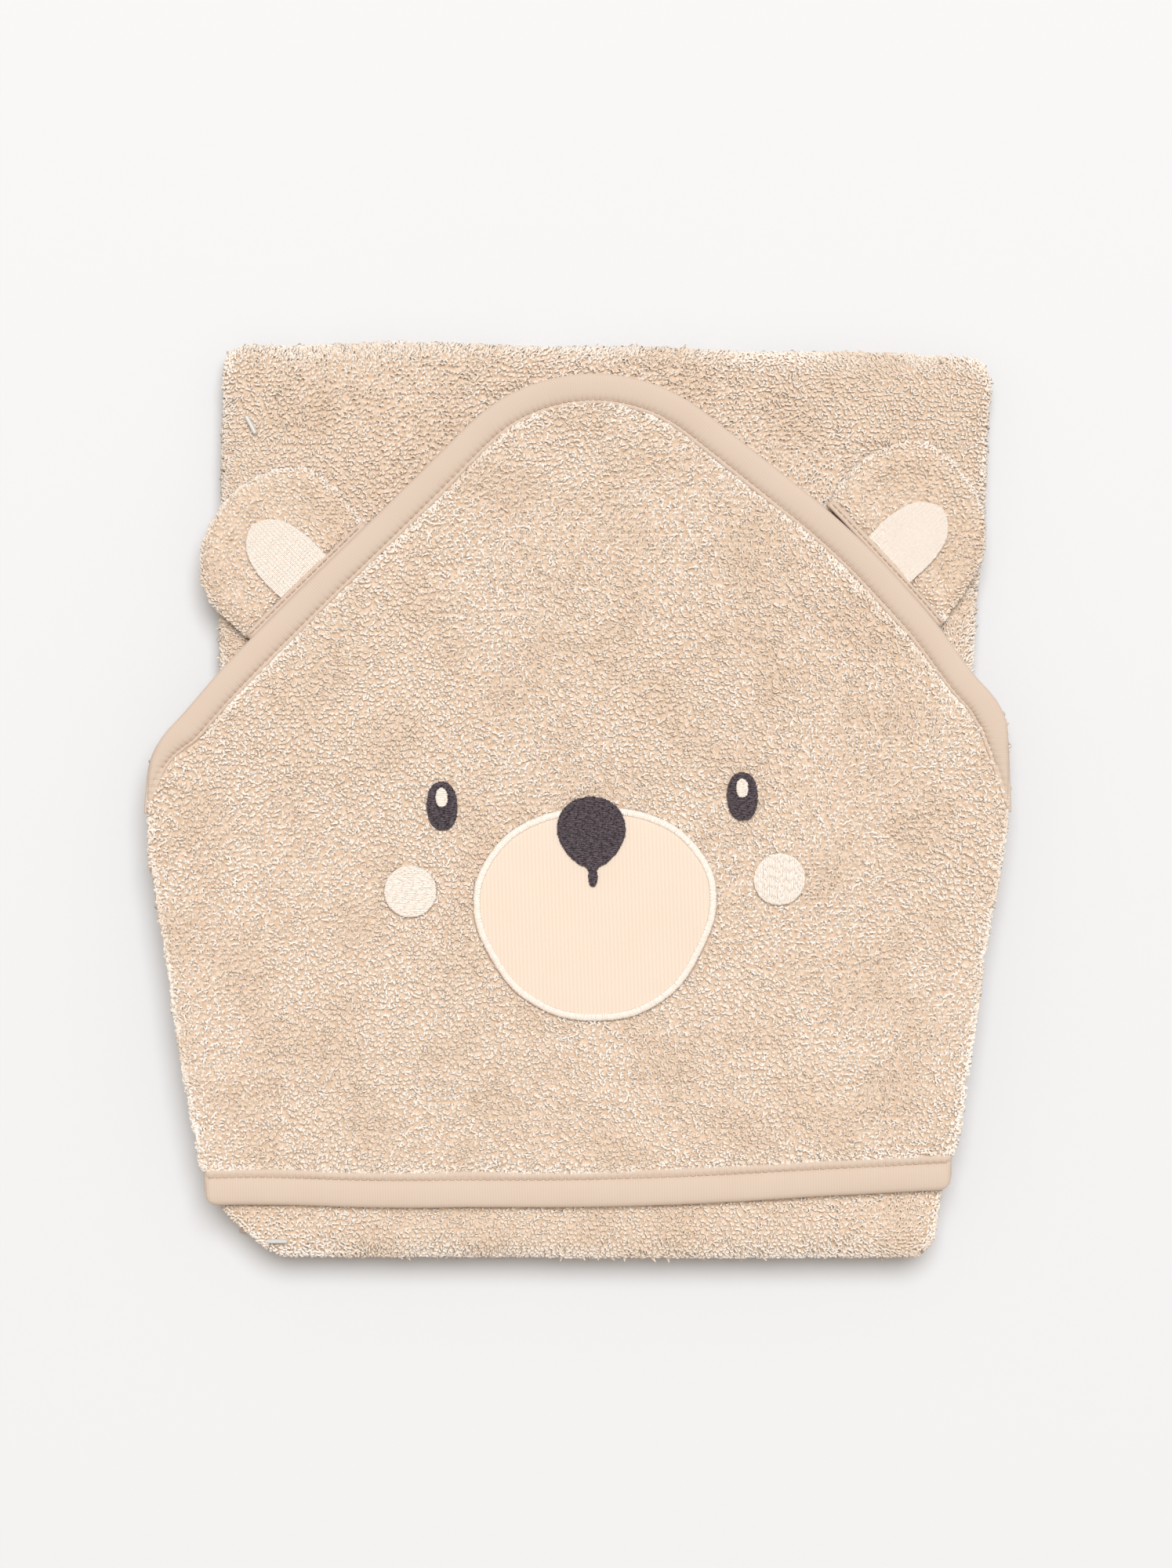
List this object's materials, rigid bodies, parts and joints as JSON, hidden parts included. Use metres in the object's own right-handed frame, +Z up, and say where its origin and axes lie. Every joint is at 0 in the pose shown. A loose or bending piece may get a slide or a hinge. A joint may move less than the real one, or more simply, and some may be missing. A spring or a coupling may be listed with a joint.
{
  "type": "hooded baby towel",
  "caption": "Baby towel folded in three with a terry hood on top, bound edges, ears and an embroidered animal face; unfolds, hood lifts and ears lift.",
  "frame": {"origin": "on the table under the middle of the folded towel's box", "axes": "+Y from the hem towards the hood's peak, +X to the right as the face is seen from above, +Z up from the table"},
  "size_m": [0.2968, 0.3141, 0.0282],
  "materials": {
    "terry": "looped cotton terry, matt",
    "jersey_binding": "fine ribbed cotton jersey tape",
    "binding_thread": "spun polyester sewing thread",
    "cream_embroidery": "rayon fill stitch, slight sheen",
    "charcoal_embroidery": "rayon fill stitch, slight sheen",
    "peach_velour": "short sheared velour knit, matt",
    "clear_nylon": "clear moulded nylon, satin"
  },
  "bodies": {
    "back": {"towel_back": "terry", "end_binding": "jersey_binding", "end_seam": "binding_thread"},
    "middle": {"towel_middle": "terry", "fold_tack_upper": "clear_nylon"},
    "front": {"towel_front": "terry", "hood_upper": "terry", "hood_edge_binding": "jersey_binding", "hood_edge_seam": "binding_thread", "fold_tack_lower": "clear_nylon"},
    "hood_flap": {"hood_lower": "terry", "hem_binding": "jersey_binding", "hem_seam": "binding_thread", "muzzle": "peach_velour", "muzzle_border": "cream_embroidery", "nose": "charcoal_embroidery", "eye_left": "charcoal_embroidery", "eye_right": "charcoal_embroidery", "eye_glint_left": "cream_embroidery", "eye_glint_right": "cream_embroidery", "cheek_left": "cream_embroidery", "cheek_right": "cream_embroidery"},
    "ear_left": {"ear_left_front": "terry", "ear_left_back": "terry", "inner_ear_left": "cream_embroidery"},
    "ear_right": {"ear_right_front": "terry", "ear_right_back": "terry", "inner_ear_right": "cream_embroidery"}
  },
  "joints": [
    {"name": "top_fold", "type": "hinge", "parent": "back", "child": "middle", "pos_m": [0, 0.15715, 0.00745], "axis": [-1, 0, 0], "range_deg": [0, 180]},
    {"name": "bottom_fold", "type": "hinge", "parent": "middle", "child": "front", "pos_m": [0, -0.15715, 0.01505], "axis": [1, 0, 0], "range_deg": [0, 180]},
    {"name": "hood_lift", "type": "hinge", "parent": "front", "child": "hood_flap", "pos_m": [0, 0.023, 0.026], "axis": [-1, 0, 0], "range_deg": [0, 70]},
    {"name": "ear_left_flop", "type": "hinge", "parent": "front", "child": "ear_left", "pos_m": [-0.09342, 0.07597, 0.0221], "axis": [0.7108, 0.7034, 0], "range_deg": [0, 85]},
    {"name": "ear_right_flop", "type": "hinge", "parent": "front", "child": "ear_right", "pos_m": [0.1053, 0.08199, 0.0221], "axis": [0.6903, -0.7236, 0], "range_deg": [0, 85]}
  ],
  "couplings": [
    {"joint": "bottom_fold", "follows": "top_fold", "ratio": 1}
  ]
}
